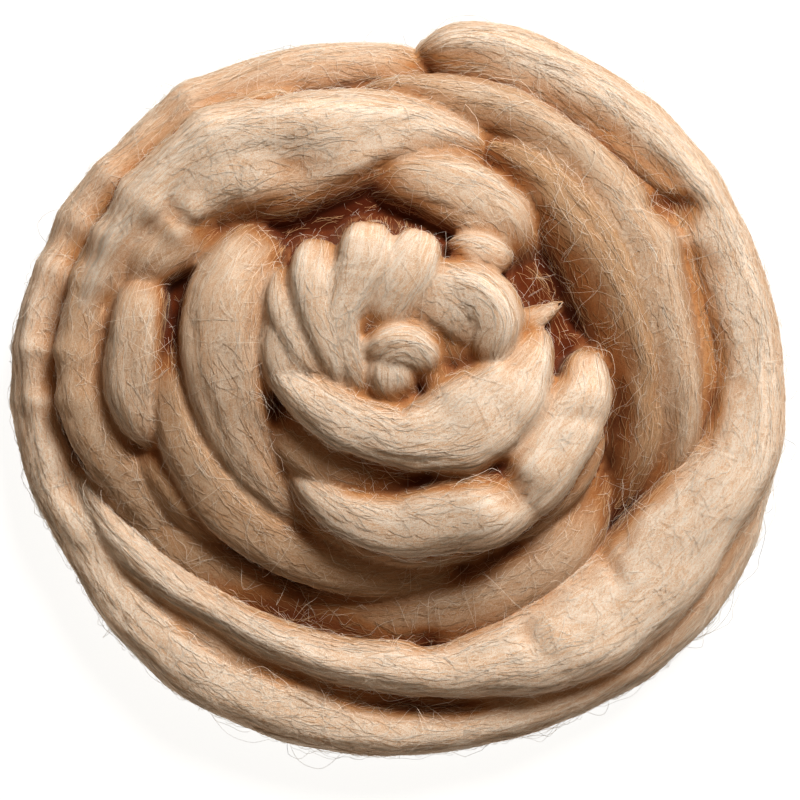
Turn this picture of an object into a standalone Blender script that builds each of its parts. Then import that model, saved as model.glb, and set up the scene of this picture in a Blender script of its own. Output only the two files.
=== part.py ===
"""A nest of wool roving: one long, soft, combed strand wound round and round itself.

The strand is about as thick as two fingers.  It starts with plain turns on the
table, climbs in looser turns and ends in a rose of folds at the middle, while its
outer end lies on top of the outer ring.  The whole nest is one closed solid.

Metres, +Z up, origin at the middle of the flat underside, +Y at the back.
Bearings run clockwise from the back, as seen from above.
"""

from collections import namedtuple

import bpy
import numpy as np

# ---- driving sizes -------------------------------------------------------------
MM = 0.001
ROVING_THICKNESS = 25.0  # mm, the strand where nothing squeezes it
NEST_RADIUS = 120.0  # mm, out to the middle of the outer ring's side
SECTION_POINTS = 20  # corners round a strand
STEP_ALONG = 3.0  # mm between two sections of a strand
ROUNDNESS = 2.8  # power of the oval, 2 is an ellipse
SURFACE_STEP = 0.0030  # size of the fused surface's facets, before it is thinned
FACETS_KEPT = 0.31  # share of the facets left when the surface is thinned
MIDDLE_EAST = 0.33  # mm, the nest's middle as the turns' tables give places
MIDDLE_NORTH = 0.95
WOOL_COLOUR = (0.72, 0.53, 0.36, 1.0)

Section = namedtuple("Section", "bearing radius height width thickness")

# ---- the turns that show -------------------------------------------------------
# One table for each stretch of the strand, in degrees and millimetres, clockwise.
# height is that of the strand's middle line above the table.
TURNS = {
    "outer_ring": [
        (70, 104, 12, 24, 24),
        (95, 106, 12, 25, 25),
        (110, 108, 12, 25, 26),
        (120, 109, 12, 24, 26),
        (130, 108.5, 12, 22, 26),
        (140, 108, 12, 19, 25),
        (150, 107.5, 12, 16, 24),
        (160, 106.5, 12, 15, 24),
        (170, 106, 12, 15, 24),
        (180, 105, 12, 17, 25),
        (190, 104.5, 12, 19, 26),
        (200, 104, 13, 22, 27),
        (210, 105, 13, 22, 27),
        (220, 106, 13, 21, 27),
        (230, 107, 13, 20, 27),
        (240, 106.5, 13, 19, 27),
        (250, 108.5, 13, 19, 27),
        (260, 110.5, 13, 19, 27),
        (270, 111, 13, 19, 27),
        (280, 110.5, 13, 19, 27),
        (290, 109.5, 13, 19, 27),
        (300, 110, 13, 19, 27),
        (310, 106.5, 14, 19, 26),
        (320, 105.5, 14, 19, 26),
        (330, 104.5, 14, 19, 26),
        (340, 103.5, 14, 19, 25),
        (350, 101, 14, 18, 24),
        (360, 99, 14, 17, 23),
        (370, 95, 14, 15, 21),
    ],
    "ring_beside": [
        (176, 101, 10, 9, 18),
        (188, 99, 12, 11, 20),
        (200, 97.5, 14, 11, 22),
        (212, 97, 15, 10, 22),
        (224, 98, 15, 10, 20),
        (236, 101, 14, 9, 18),
        (246, 103, 13, 7, 16),
    ],
    "loose_end_turn": [
        (3, 103.5, 19, 10, 14),
        (7, 105.5, 21, 14, 18),
        (12, 107.5, 23, 17, 20),
        (20, 108.5, 24, 18, 22),
        (30, 108, 25, 19, 23),
        (40, 107.5, 25, 20, 23),
        (50, 108.5, 25, 20, 23),
        (60, 109, 25, 20.5, 24),
        (70, 108, 24, 22, 24),
        (80, 108.3, 24, 22.5, 24),
        (90, 107.3, 24, 24, 24),
        (100, 106.8, 24, 25, 24),
        (105, 104, 25, 27, 24),
        (110, 100.5, 25, 29, 24),
        (120, 96, 25, 32, 24),
        (130, 94, 25, 34, 24),
        (140, 92.5, 25, 33, 24),
        (150, 91, 25, 29, 23),
        (160, 88.5, 25, 22, 22),
        (170, 88, 24, 17, 21),
        (180, 85.5, 24, 18, 20),
        (190, 85.5, 24, 17, 20),
        (200, 85.5, 24, 14, 19),
        (210, 87, 24, 12, 18),
        (220, 88.5, 23, 12, 18),
        (230, 91.5, 22, 13, 18),
        (240, 96, 22, 12, 17),
        (250, 100.5, 20, 9, 15),
        (260, 103.5, 18, 6, 12),
    ],
    "rim_fold": [
        (306, 100, 25, 7, 11),
        (318, 101.5, 28, 9, 12),
        (328, 99, 29, 9, 12),
        (336, 97, 28, 8, 10),
        (342, 95.5, 25, 4, 6),
    ],
    "right_band_outer": [
        (352, 92.5, 25, 5, 9),
        (360, 92.5, 28, 9, 14),
        (370, 91.5, 31, 12, 17),
        (380, 92, 33, 13.5, 18),
        (390, 91.5, 35, 14, 18),
        (400, 90, 36, 16, 18),
        (410, 88.3, 37, 17, 19),
        (420, 86.3, 37, 18, 19),
        (430, 83.3, 36, 18, 19),
        (440, 83.2, 34, 18, 19),
        (450, 83.7, 31, 18, 19),
        (460, 85, 27, 17, 18),
        (470, 84, 21, 14, 18),
        (482, 82, 15, 13, 16),
    ],
    "right_band_inner": [
        (14, 80, 31, 6, 8),
        (22, 79.5, 34, 10, 15),
        (30, 78.5, 36.5, 16, 19),
        (40, 75, 38, 22, 21),
        (50, 72.5, 38, 25, 23),
        (60, 71, 37.5, 26, 24),
        (70, 70.5, 36, 25, 23),
        (80, 71, 33.5, 23, 22),
        (90, 73, 30.5, 20, 21),
        (100, 74, 27, 19, 20),
        (110, 73.5, 22, 19, 18),
        (120, 72, 17, 18, 17),
        (132, 69, 12, 15, 14),
    ],
    "top_arch": [
        (274, 99, 22, 8, 12),
        (283, 98, 29, 13, 18),
        (292, 95.5, 33, 17, 20),
        (300, 92.5, 36, 22, 22),
        (310, 90.5, 39, 27, 24),
        (320, 87, 41, 31, 26),
        (326, 84, 42, 33, 27),
        (332, 80, 43, 33, 28),
        (340, 78, 43, 32, 28),
        (346, 78, 43, 29, 27),
        (352, 79, 42, 25, 25),
        (360, 79.5, 40, 20, 22),
        (367, 79, 38, 16, 20),
        (375, 77.5, 36, 12, 16),
        (383, 76.5, 33, 6, 9),
    ],
    "arch_underfold": [
        (288, 86, 30, 10, 13),
        (296, 85, 37, 15, 18),
        (304, 82, 40, 18, 20),
        (311, 79, 40, 16, 19),
        (318, 76, 37, 11, 14),
    ],
    "top_fold_outer": [
        (345, 62, 36, 5, 8),
        (352, 63.5, 39, 9, 13),
        (360, 64.5, 42, 14, 19),
        (370, 64, 44, 18, 22),
        (380, 62.5, 44, 20.5, 23),
        (389, 60.5, 42, 21, 22),
        (396, 57.5, 38, 19, 20),
        (403, 55, 32, 15, 16),
        (410, 53.5, 27, 10, 12),
    ],
    "top_fold_inner": [
        (322, 60, 27, 6, 8),
        (334, 58.5, 31, 10, 12),
        (348, 57, 35, 13, 15),
        (362, 56, 37, 14, 17),
        (376, 55, 38, 14, 17),
        (390, 53.5, 36, 14, 17),
        (404, 53, 32, 13, 15),
        (416, 54, 28, 11, 12),
        (428, 56, 25, 7, 9),
    ],
    "left_turn": [
        (235, 84, 23, 8, 11),
        (243, 84, 25, 12, 15),
        (250, 86, 26, 15, 17),
        (258, 90.5, 27, 15, 19),
        (266, 94.5, 28, 15, 20),
        (275, 96.5, 29, 14, 20),
        (284, 98, 29.5, 14, 20),
        (293, 98.5, 29, 13, 19),
        (301, 98, 27, 11, 16),
    ],
    "left_turn_low": [
        (175, 71, 19, 13, 13),
        (190, 72, 19, 15, 13),
        (205, 74, 20, 15, 14),
        (220, 77, 22, 15, 15),
        (232, 80.5, 23, 15, 16),
        (243, 86, 23, 14, 16),
        (252, 92.5, 22, 12, 16),
        (260, 98, 21, 8, 14),
    ],
    "front_turn": [
        (95, 64, 22, 8, 10),
        (108, 66, 24, 11, 14),
        (120, 67.5, 25, 14, 16),
        (132, 69, 26, 18, 18),
        (145, 69, 26, 20, 18),
        (160, 69, 25, 20, 18),
        (178, 70, 23, 18, 17),
        (195, 71, 21, 17, 16),
        (212, 75, 19, 15, 15),
        (226, 81, 17, 12, 14),
    ],
    "right_thin_fold": [
        (90, 66, 22, 4, 7),
        (98, 66.5, 24, 7, 11),
        (106, 66.5, 23, 8, 12),
        (114, 66, 20, 8, 12),
        (122, 67, 16, 6, 9),
    ],
    "left_thumb": [
        (257, 75, 30, 8, 12),
        (263, 78.5, 35, 13, 18),
        (271, 81, 39, 17, 22),
        (281, 81.5, 41, 18, 23),
        (289, 82.5, 40, 16, 21),
        (295, 83, 34, 9, 13),
    ],
    "left_middle_turn": [
        (158, 54.5, 29, 9, 12),
        (170, 55, 30, 11, 13),
        (182, 56, 31, 12, 14),
        (196, 57, 32, 13.5, 15),
        (210, 58.5, 33, 15, 16),
        (222, 60, 34, 16, 17),
        (234, 62, 35, 16.5, 18),
        (244, 64, 36, 16, 18),
        (254, 66, 37.5, 14.5, 19),
        (264, 67.7, 39, 13.5, 19),
        (274, 69.5, 40, 11.5, 18),
        (283, 70.5, 39, 8, 15),
        (290, 71, 35, 5, 10),
    ],
    "left_high_turn": [
        (208, 48, 33, 7, 10),
        (220, 47.5, 35, 10, 14),
        (232, 48, 37, 13, 18),
        (244, 48.5, 39, 17, 20),
        (256, 49.5, 41, 19.5, 22),
        (268, 50.5, 43, 22.5, 25),
        (280, 53, 45, 25, 27),
        (290, 55.5, 46, 27, 28),
        (300, 58.3, 46, 27, 28),
        (309, 60, 44, 24, 26),
        (316, 60.8, 40, 18, 21),
        (322, 60, 35, 10, 13),
    ],
    "left_high_fold": [
        (296, 48, 39, 5, 8),
        (307, 52, 42, 8, 13),
        (316, 55, 41, 9, 14),
        (323, 56, 37, 7, 11),
    ],
    "front_crescent": [
        (78, 60, 39, 8, 9),
        (84, 57.5, 44, 14, 17),
        (90, 56.5, 46, 17, 20),
        (97, 53.5, 47, 19, 22),
        (105, 50.5, 48, 20, 22),
        (115, 48.5, 49, 20, 22),
        (124, 47.5, 48, 19, 22),
        (130, 46.5, 47, 18.5, 21),
        (137, 45.5, 48, 20, 22),
        (146, 44, 49, 22, 23),
        (156, 42, 48, 21, 22),
        (168, 41, 47, 19.5, 21),
        (180, 41, 46, 18, 20),
        (192, 40.5, 46, 16, 19),
        (204, 40, 46, 14, 18),
        (216, 39.5, 45, 11, 16),
        (228, 39.5, 43, 7.5, 12),
        (238, 40, 40, 4, 7),
    ],
    "right_small_fold": [
        (72, 52, 36, 6, 9),
        (76, 56, 37, 8, 10),
        (80, 60, 35, 7, 9),
    ],
    "shaded_crescent": [
        (138, 33, 43, 8, 12),
        (150, 31, 44, 10, 15),
        (165, 29, 44.5, 12, 16),
        (180, 28, 44.5, 13, 17),
        (195, 27.5, 44.5, 14, 18),
        (210, 28.5, 44.5, 15, 18),
        (225, 30.5, 44, 15, 18),
        (238, 33, 43.5, 14, 18),
        (249, 35.5, 43, 12, 17),
        (259, 37.5, 41, 9, 15),
        (268, 39.5, 38, 6, 10),
    ],
    "bright_crescent": [
        (66, 47, 47, 6, 10),
        (71, 44.5, 50, 10, 15),
        (76, 41, 52, 14, 18),
        (83, 36.5, 53, 19, 20),
        (90, 33, 54, 23, 22),
        (99, 28.5, 54, 26, 23),
        (110, 24.5, 55, 27, 24),
        (120, 22, 55, 27, 24),
        (132, 19, 55, 24, 23),
        (146, 16.8, 55, 20, 22),
        (162, 15.3, 55, 18, 21),
        (180, 14.5, 55, 15.5, 20),
        (200, 14, 55, 15.5, 20),
        (222, 15.5, 55, 15.5, 20),
        (240, 18.5, 55, 16, 20),
        (255, 22.5, 55, 15.5, 20),
        (266, 27, 54, 14.5, 19),
        (275, 32.5, 53, 12, 18),
        (282, 37.3, 51, 10, 16),
        (289, 41.5, 48, 7, 12),
    ],
    "petal_bed": [
        (270, 24, 46, 16, 20),
        (290, 31, 52, 24, 22),
        (312, 34, 54, 26, 22),
        (336, 33, 55, 26, 22),
        (358, 30, 55, 26, 20),
        (380, 28, 54, 24, 20),
        (402, 26, 54, 22, 18),
        (422, 24.5, 53.5, 18, 16),
        (440, 23, 51, 12, 12),
    ],
    "petal_back": [
        (243, 6, 50, 6, 8),
        (281, 11, 55, 7, 11),
        (308, 9.5, 54, 8, 12),
    ],
    "petal_one": [
        (240, 9, 52, 5, 8),
        (268, 11, 55, 7, 11),
        (294, 15, 57.5, 9, 13),
        (311, 21.5, 59, 10.5, 15),
        (323, 29, 60.5, 12.5, 17),
        (336, 35, 61.5, 15, 18),
        (344, 40.5, 62, 16.5, 19),
        (347, 45, 61.5, 16.5, 18),
        (348.5, 48.5, 54, 12, 13),
    ],
    "petal_left": [
        (256, 14, 52, 6, 9),
        (279, 17, 55, 8, 12),
        (297, 22, 57.5, 10, 15),
        (308, 29, 59.5, 11.5, 17),
        (316, 36, 60.5, 13, 18),
        (323, 42.5, 61, 15, 18),
        (328, 47, 58.5, 15, 16),
        (331, 50, 51, 11, 11),
    ],
    "petal_far_left": [
        (268, 15, 50, 7, 11),
        (281, 22, 53, 9, 14),
        (291, 30, 56, 11, 16),
        (300, 38, 57, 12, 17),
        (307, 44, 57, 13, 17),
        (313, 47.5, 54, 12, 15),
        (317, 49.5, 48, 8, 10),
    ],
    "petal_two": [
        (343, 17, 54, 11, 13),
        (350, 23, 57.5, 15, 16),
        (356, 28.5, 59.5, 16.5, 17),
        (361.5, 34, 61, 17.5, 18),
        (365, 39, 61.5, 17.5, 18),
        (367, 43, 61, 16, 17),
        (368, 46.5, 55, 11, 12),
    ],
    "petal_small": [
        (18, 45, 51, 7, 10),
        (25, 48, 53, 11, 14),
        (34, 50, 52, 11, 14),
        (41, 51, 47, 8, 10),
    ],
    "petal_right": [
        (14, 33, 55.5, 9, 13),
        (24, 35, 58, 13, 16),
        (34, 37, 59.5, 16, 18),
        (44, 38, 60, 17, 19),
        (53, 36.5, 59.3, 17, 19),
        (61, 32.5, 57, 15, 18),
        (69, 29.5, 53, 12, 15),
        (76, 27, 49, 9, 12),
    ],
    "petal_right_hollow": [
        (326, 23, 53, 11, 13),
        (340, 25, 56, 16, 16),
        (353, 27, 57.5, 18, 17),
        (367, 29, 58, 20, 18),
        (382, 30.5, 58.5, 22, 18),
        (396, 31, 58.3, 22, 18),
        (408, 30.5, 57, 20, 17),
        (418, 28.5, 54, 16, 15),
        (428, 26, 50, 11, 12),
    ],
    "heart_dome": [
        (318, 14, 54, 9, 12),
        (332, 14.5, 58.5, 12, 15),
        (350, 15, 60.5, 13.5, 17),
        (370, 15, 60.5, 13.5, 17),
        (388, 14.5, 59.5, 12, 16),
        (404, 13, 56, 9, 13),
        (418, 11.5, 51, 6, 9),
    ],
    "heart_small": [
        (36, 15.5, 52, 7, 9),
        (52, 13.5, 54.5, 9, 11),
        (68, 12, 56, 10, 12),
        (84, 12.5, 56, 10, 12),
        (98, 15, 53, 7, 9),
    ],
    "front_crescent_fold": [
        (97, 61, 38, 6, 8),
        (106, 61.5, 38, 8, 11),
        (116, 61, 37, 8, 12),
        (126, 58.5, 36, 8, 12),
        (136, 57, 36, 7, 11),
        (146, 55.5, 34, 5, 7),
    ],
    "wisp_right": [
        (59, 34, 48, 8, 9),
        (61, 41, 51, 8, 8),
        (61.5, 47, 51, 6.5, 6),
        (61.8, 52, 49, 4.5, 4.5),
        (61.5, 57, 46, 2.5, 2.5),
    ],
    "wisp_low": [
        (83, 49, 43, 4, 5),
        (80.5, 53, 44, 4, 4),
        (78.5, 58, 42, 2.5, 3),
    ],
    "heart_floor": [
        (347, 13, 59.5, 12, 13),
        (345, 10, 60.5, 16, 15),
        (338, 6.5, 59, 15, 15),
        (322, 2, 56, 12, 13),
        (315, -3, 52.5, 9, 10),
        (315, -7, 49, 6, 8),
    ],
    "arch_beside": [
        (358, 86, 33, 7, 10),
        (366, 86.5, 34, 9, 12),
        (376, 86, 34, 9, 12),
        (386, 85, 33, 7, 10),
    ],
    "band_beside": [
        (26, 99, 21, 7, 10),
        (38, 99.5, 25, 9, 14),
        (50, 100, 26, 12, 16),
        (60, 98.5, 26.5, 13, 16),
        (72, 95.5, 26, 12, 16),
        (88, 95, 24.5, 12, 16),
        (100, 95.5, 22, 9, 13),
    ],
    "under_arch": [
        (298, 67, 29.5, 8, 10),
        (312, 64.5, 34, 13, 14),
        (325, 62, 36, 15, 16),
        (338, 59.5, 37.5, 15, 16),
        (352, 56, 37.5, 13, 15),
        (366, 53, 35.5, 9, 11),
    ],
    "under_band": [
        (36, 55, 34, 8, 10),
        (48, 56, 35, 12, 13),
        (62, 57.5, 34, 12, 13),
        (76, 60.5, 31, 8, 10),
    ],
    "left_beside": [
        (226, 69.5, 24, 7, 9),
        (236, 71.5, 28, 12, 13),
        (245, 73.5, 30, 14, 15),
        (253, 76.5, 30, 13, 15),
        (261, 80, 27, 8, 11),
    ],
}

# Some turns lean: with a lean above nought the side towards the middle lies lower.
LEAN = {
    "loose_end_turn": 10.0,
    "right_band_outer": 12.0,
    "right_band_inner": 24.0,
    "top_arch": 10.0,
    "left_turn": -14.0,
    "left_turn_low": -18.0,
    "front_turn": -18.0,
    "left_thumb": -8.0,
    "left_middle_turn": -20.0,
    "left_high_turn": -6.0,
    "front_crescent": -8.0,
    "shaded_crescent": -12.0,
    "petal_right": 14.0,
    "petal_right_hollow": 10.0,
    "heart_dome": 18.0,
}

# How much wider than its table a turn swells where it presses on its neighbours.
SWELL = 1.14
SWELL_OF = {
    "outer_ring": 1.02,
    "loose_end_turn": 1.04,
    "left_thumb": 1.0,
    "petal_one": 1.0,
    "petal_left": 1.0,
    "petal_far_left": 1.0,
    "petal_two": 1.0,
    "petal_small": 1.0,
    "petal_right": 1.0,
    "petal_right_hollow": 1.1,
    "heart_dome": 1.0,
    "heart_small": 1.0,
    "heart_floor": 1.0,
}

# ---- the plain turns underneath, which only carry the others -------------------
# Spirals from an outer to an inner radius, in millimetres.  An inner radius below
# nought carries the last turn across the middle.
Spiral = namedtuple("Spiral", "outer inner pitch height width thickness")
UNDER_TURNS = {
    "on_the_table": Spiral(100, -5, 19, 9, 26, 28),
    "second_layer": Spiral(52, -4, 17, 28, 25, 28),
    "third_layer": Spiral(33, -2, 12, 37, 19, 22),
}


def polar_point(bearing, radius, height):
    """Point in metres from a clockwise bearing, a radius and a height in mm."""
    angle = np.radians(bearing)
    east = radius * np.sin(angle) - MIDDLE_EAST
    north = radius * np.cos(angle) - MIDDLE_NORTH
    return np.stack([east, north, height], axis=-1) * MM


def smooth_rows(rows, spacing):
    """Rows of numbers read off a Catmull-Rom curve, about evenly along its length.

    The first three columns are a place in metres, the others follow along.
    """
    rows = np.asarray(rows, dtype=float)
    before = 2.0 * rows[0] - rows[1]
    after = 2.0 * rows[-1] - rows[-2]
    padded = np.vstack([before, rows, after])
    fine = []
    for index in range(len(rows) - 1):
        p0, p1, p2, p3 = padded[index : index + 4]
        share = np.linspace(0.0, 1.0, 24, endpoint=False)[:, None]
        fine.append(
            0.5
            * (
                2.0 * p1
                + (p2 - p0) * share
                + (2.0 * p0 - 5.0 * p1 + 4.0 * p2 - p3) * share**2
                + (3.0 * p1 - p0 - 3.0 * p2 + p3) * share**3
            )
        )
    fine.append(rows[-1:])
    fine = np.vstack(fine)
    gaps = np.linalg.norm(np.diff(fine[:, :3], axis=0), axis=1)
    run = np.concatenate([[0.0], np.cumsum(gaps)])
    count = max(int(round(run[-1] / spacing)), 4) + 1
    stations = np.linspace(0.0, run[-1], count)
    columns = [np.interp(stations, run, fine[:, column]) for column in range(fine.shape[1])]
    return np.stack(columns, axis=-1), stations


def strand_mesh(rows, lean, swell):
    """Vertices and faces of one stretch: an oval carried along a smooth middle line.

    rows are x, y, z, width and thickness in metres; both ends are rounded off.
    The section leans by lean degrees, and swell widens it.
    """
    rows, run = smooth_rows(rows, STEP_ALONG * MM)
    middle = rows[:, :3]
    ahead = np.gradient(middle, axis=0)
    ahead /= np.linalg.norm(ahead, axis=1)[:, None]
    side = np.stack([-ahead[:, 1], ahead[:, 0], np.zeros(len(ahead))], axis=-1)
    side /= np.linalg.norm(side, axis=1)[:, None]
    rise = np.cross(ahead, side)
    turn = np.radians(lean)
    leaned_side = side * np.cos(turn) + rise * np.sin(turn)
    leaned_rise = rise * np.cos(turn) - side * np.sin(turn)

    cap = 0.5 * ROVING_THICKNESS * MM
    from_end = np.minimum(run, run[-1] - run)
    cap = min(cap, 0.4 * run[-1])
    share = np.clip(from_end / cap, 0.0, 1.0)
    rounding = np.sqrt(np.clip(1.0 - (1.0 - share) ** 2, 0.02, 1.0))
    half_width = 0.5 * swell * rows[:, 3] * rounding
    half_thickness = 0.5 * rows[:, 4] * rounding

    angle = np.linspace(0.0, 2.0 * np.pi, SECTION_POINTS, endpoint=False)
    power = 2.0 / ROUNDNESS
    across = np.sign(np.cos(angle)) * np.abs(np.cos(angle)) ** power
    up = np.sign(np.sin(angle)) * np.abs(np.sin(angle)) ** power
    points = (
        middle[:, None, :]
        + leaned_side[:, None, :] * (half_width[:, None] * across)[:, :, None]
        + leaned_rise[:, None, :] * (half_thickness[:, None] * up)[:, :, None]
    )
    count = len(points)
    verts = points.reshape(-1, 3)
    faces = []
    for ring in range(count - 1):
        for corner in range(SECTION_POINTS):
            following = (corner + 1) % SECTION_POINTS
            here = ring * SECTION_POINTS
            there = here + SECTION_POINTS
            faces.append((here + corner, here + following, there + following, there + corner))
    last = (count - 1) * SECTION_POINTS
    faces.append(tuple(range(SECTION_POINTS - 1, -1, -1)))
    faces.append(tuple(range(last, last + SECTION_POINTS)))
    return verts, faces


def table_rows(table):
    """A turn's table as rows of x, y, z, width and thickness in metres."""
    rows = []
    for line in table:
        section = Section(*line)
        place = polar_point(section.bearing, section.radius, section.height)
        rows.append([*place, section.width * MM, section.thickness * MM])
    return rows


def spiral_rows(spiral):
    """A flat spiral as rows of x, y, z, width and thickness in metres."""
    turns = (spiral.outer - spiral.inner) / spiral.pitch
    count = int(turns * 16) + 1
    rows = []
    for share in np.linspace(0.0, 1.0, count):
        radius = spiral.outer + (spiral.inner - spiral.outer) * share
        place = polar_point(360.0 * turns * share, radius, spiral.height)
        rows.append([*place, spiral.width * MM, spiral.thickness * MM])
    return rows


def wool_material():
    """Soft undyed wool."""
    wool = bpy.data.materials.new("wool")
    wool.use_nodes = True
    shader = wool.node_tree.nodes["Principled BSDF"]
    shader.inputs["Base Color"].default_value = WOOL_COLOUR
    shader.inputs["Roughness"].default_value = 0.85
    shader.inputs["Metallic"].default_value = 0.0
    return wool


def table_top_cutter():
    """A block whose top is the table: what it takes off leaves the nest flat below."""
    reach = 2.0 * NEST_RADIUS * MM
    depth = 40.0 * MM
    corners = []
    for height in (-depth, 0.0):
        for east, north in ((-1, -1), (1, -1), (1, 1), (-1, 1)):
            corners.append((east * reach, north * reach, height))
    sides = [(0, 3, 2, 1), (4, 5, 6, 7), (0, 1, 5, 4), (1, 2, 6, 5), (2, 3, 7, 6), (3, 0, 4, 7)]
    mesh = bpy.data.meshes.new("table_top_cutter")
    mesh.from_pydata(corners, [], sides)
    cutter = bpy.data.objects.new("table_top_cutter", mesh)
    cutter.hide_render = True
    cutter.display_type = "WIRE"
    bpy.context.collection.objects.link(cutter)
    return cutter


def wound_roving():
    """All turns fused into the one solid of the wound nest."""
    parts = []
    for spiral in UNDER_TURNS.values():
        parts.append(strand_mesh(spiral_rows(spiral), 0.0, 1.0))
    for name, table in TURNS.items():
        lean = LEAN.get(name, 0.0)
        swell = SWELL_OF.get(name, SWELL)
        parts.append(strand_mesh(table_rows(table), lean, swell))
    verts = []
    faces = []
    for part_verts, part_faces in parts:
        offset = len(verts)
        verts.extend(map(tuple, part_verts))
        faces.extend(tuple(corner + offset for corner in face) for face in part_faces)
    mesh = bpy.data.meshes.new("wound_roving")
    mesh.from_pydata(verts, [], faces)
    mesh.materials.append(wool_material())
    nest = bpy.data.objects.new("wound_roving", mesh)
    bpy.context.collection.objects.link(nest)

    fuse = nest.modifiers.new("fuse_turns", "REMESH")
    fuse.mode = "VOXEL"
    fuse.voxel_size = SURFACE_STEP
    fuse.adaptivity = 0.0
    soften = nest.modifiers.new("soften", "SMOOTH")
    soften.factor = 0.5
    soften.iterations = 5
    thin = nest.modifiers.new("thin_facets", "DECIMATE")
    thin.ratio = FACETS_KEPT
    flatten = nest.modifiers.new("flat_underside", "BOOLEAN")
    flatten.operation = "DIFFERENCE"
    flatten.solver = "EXACT"
    flatten.object = table_top_cutter()
    return nest


def main():
    """Clear the scene and build the nest."""
    for thing in list(bpy.data.objects):
        bpy.data.objects.remove(thing, do_unlink=True)
    wound_roving()


main()
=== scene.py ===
import math

import bpy
import numpy as np
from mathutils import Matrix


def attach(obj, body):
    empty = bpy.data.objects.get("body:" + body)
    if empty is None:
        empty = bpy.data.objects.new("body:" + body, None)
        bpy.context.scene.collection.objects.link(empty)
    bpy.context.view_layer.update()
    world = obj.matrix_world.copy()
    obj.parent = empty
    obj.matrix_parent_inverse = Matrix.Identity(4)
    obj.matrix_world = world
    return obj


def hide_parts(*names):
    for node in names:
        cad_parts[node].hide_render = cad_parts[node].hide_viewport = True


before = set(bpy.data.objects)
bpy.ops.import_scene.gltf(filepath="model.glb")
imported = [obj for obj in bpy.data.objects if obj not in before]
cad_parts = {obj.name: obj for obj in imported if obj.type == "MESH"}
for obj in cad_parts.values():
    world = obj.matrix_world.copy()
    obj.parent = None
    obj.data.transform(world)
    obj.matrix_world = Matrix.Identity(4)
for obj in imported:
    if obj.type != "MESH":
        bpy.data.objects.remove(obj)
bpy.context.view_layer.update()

print("frame loaded")

# A nest of wool roving.  One soft strand is wound round and round; each stretch of it that
# shows has its own table, the stretches are melted into two felted skins, and a coat of
# fibres lies over them.
# Metres, +Z up, +Y to the back.  Tables are in millimetres and in degrees, clockwise from
# the back, as seen from above.

mm = 0.001
tiny = 1e-12
nestMiddle = (0.33, 0.95)  # east and north, mm, of the nest's middle in the tables

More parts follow.
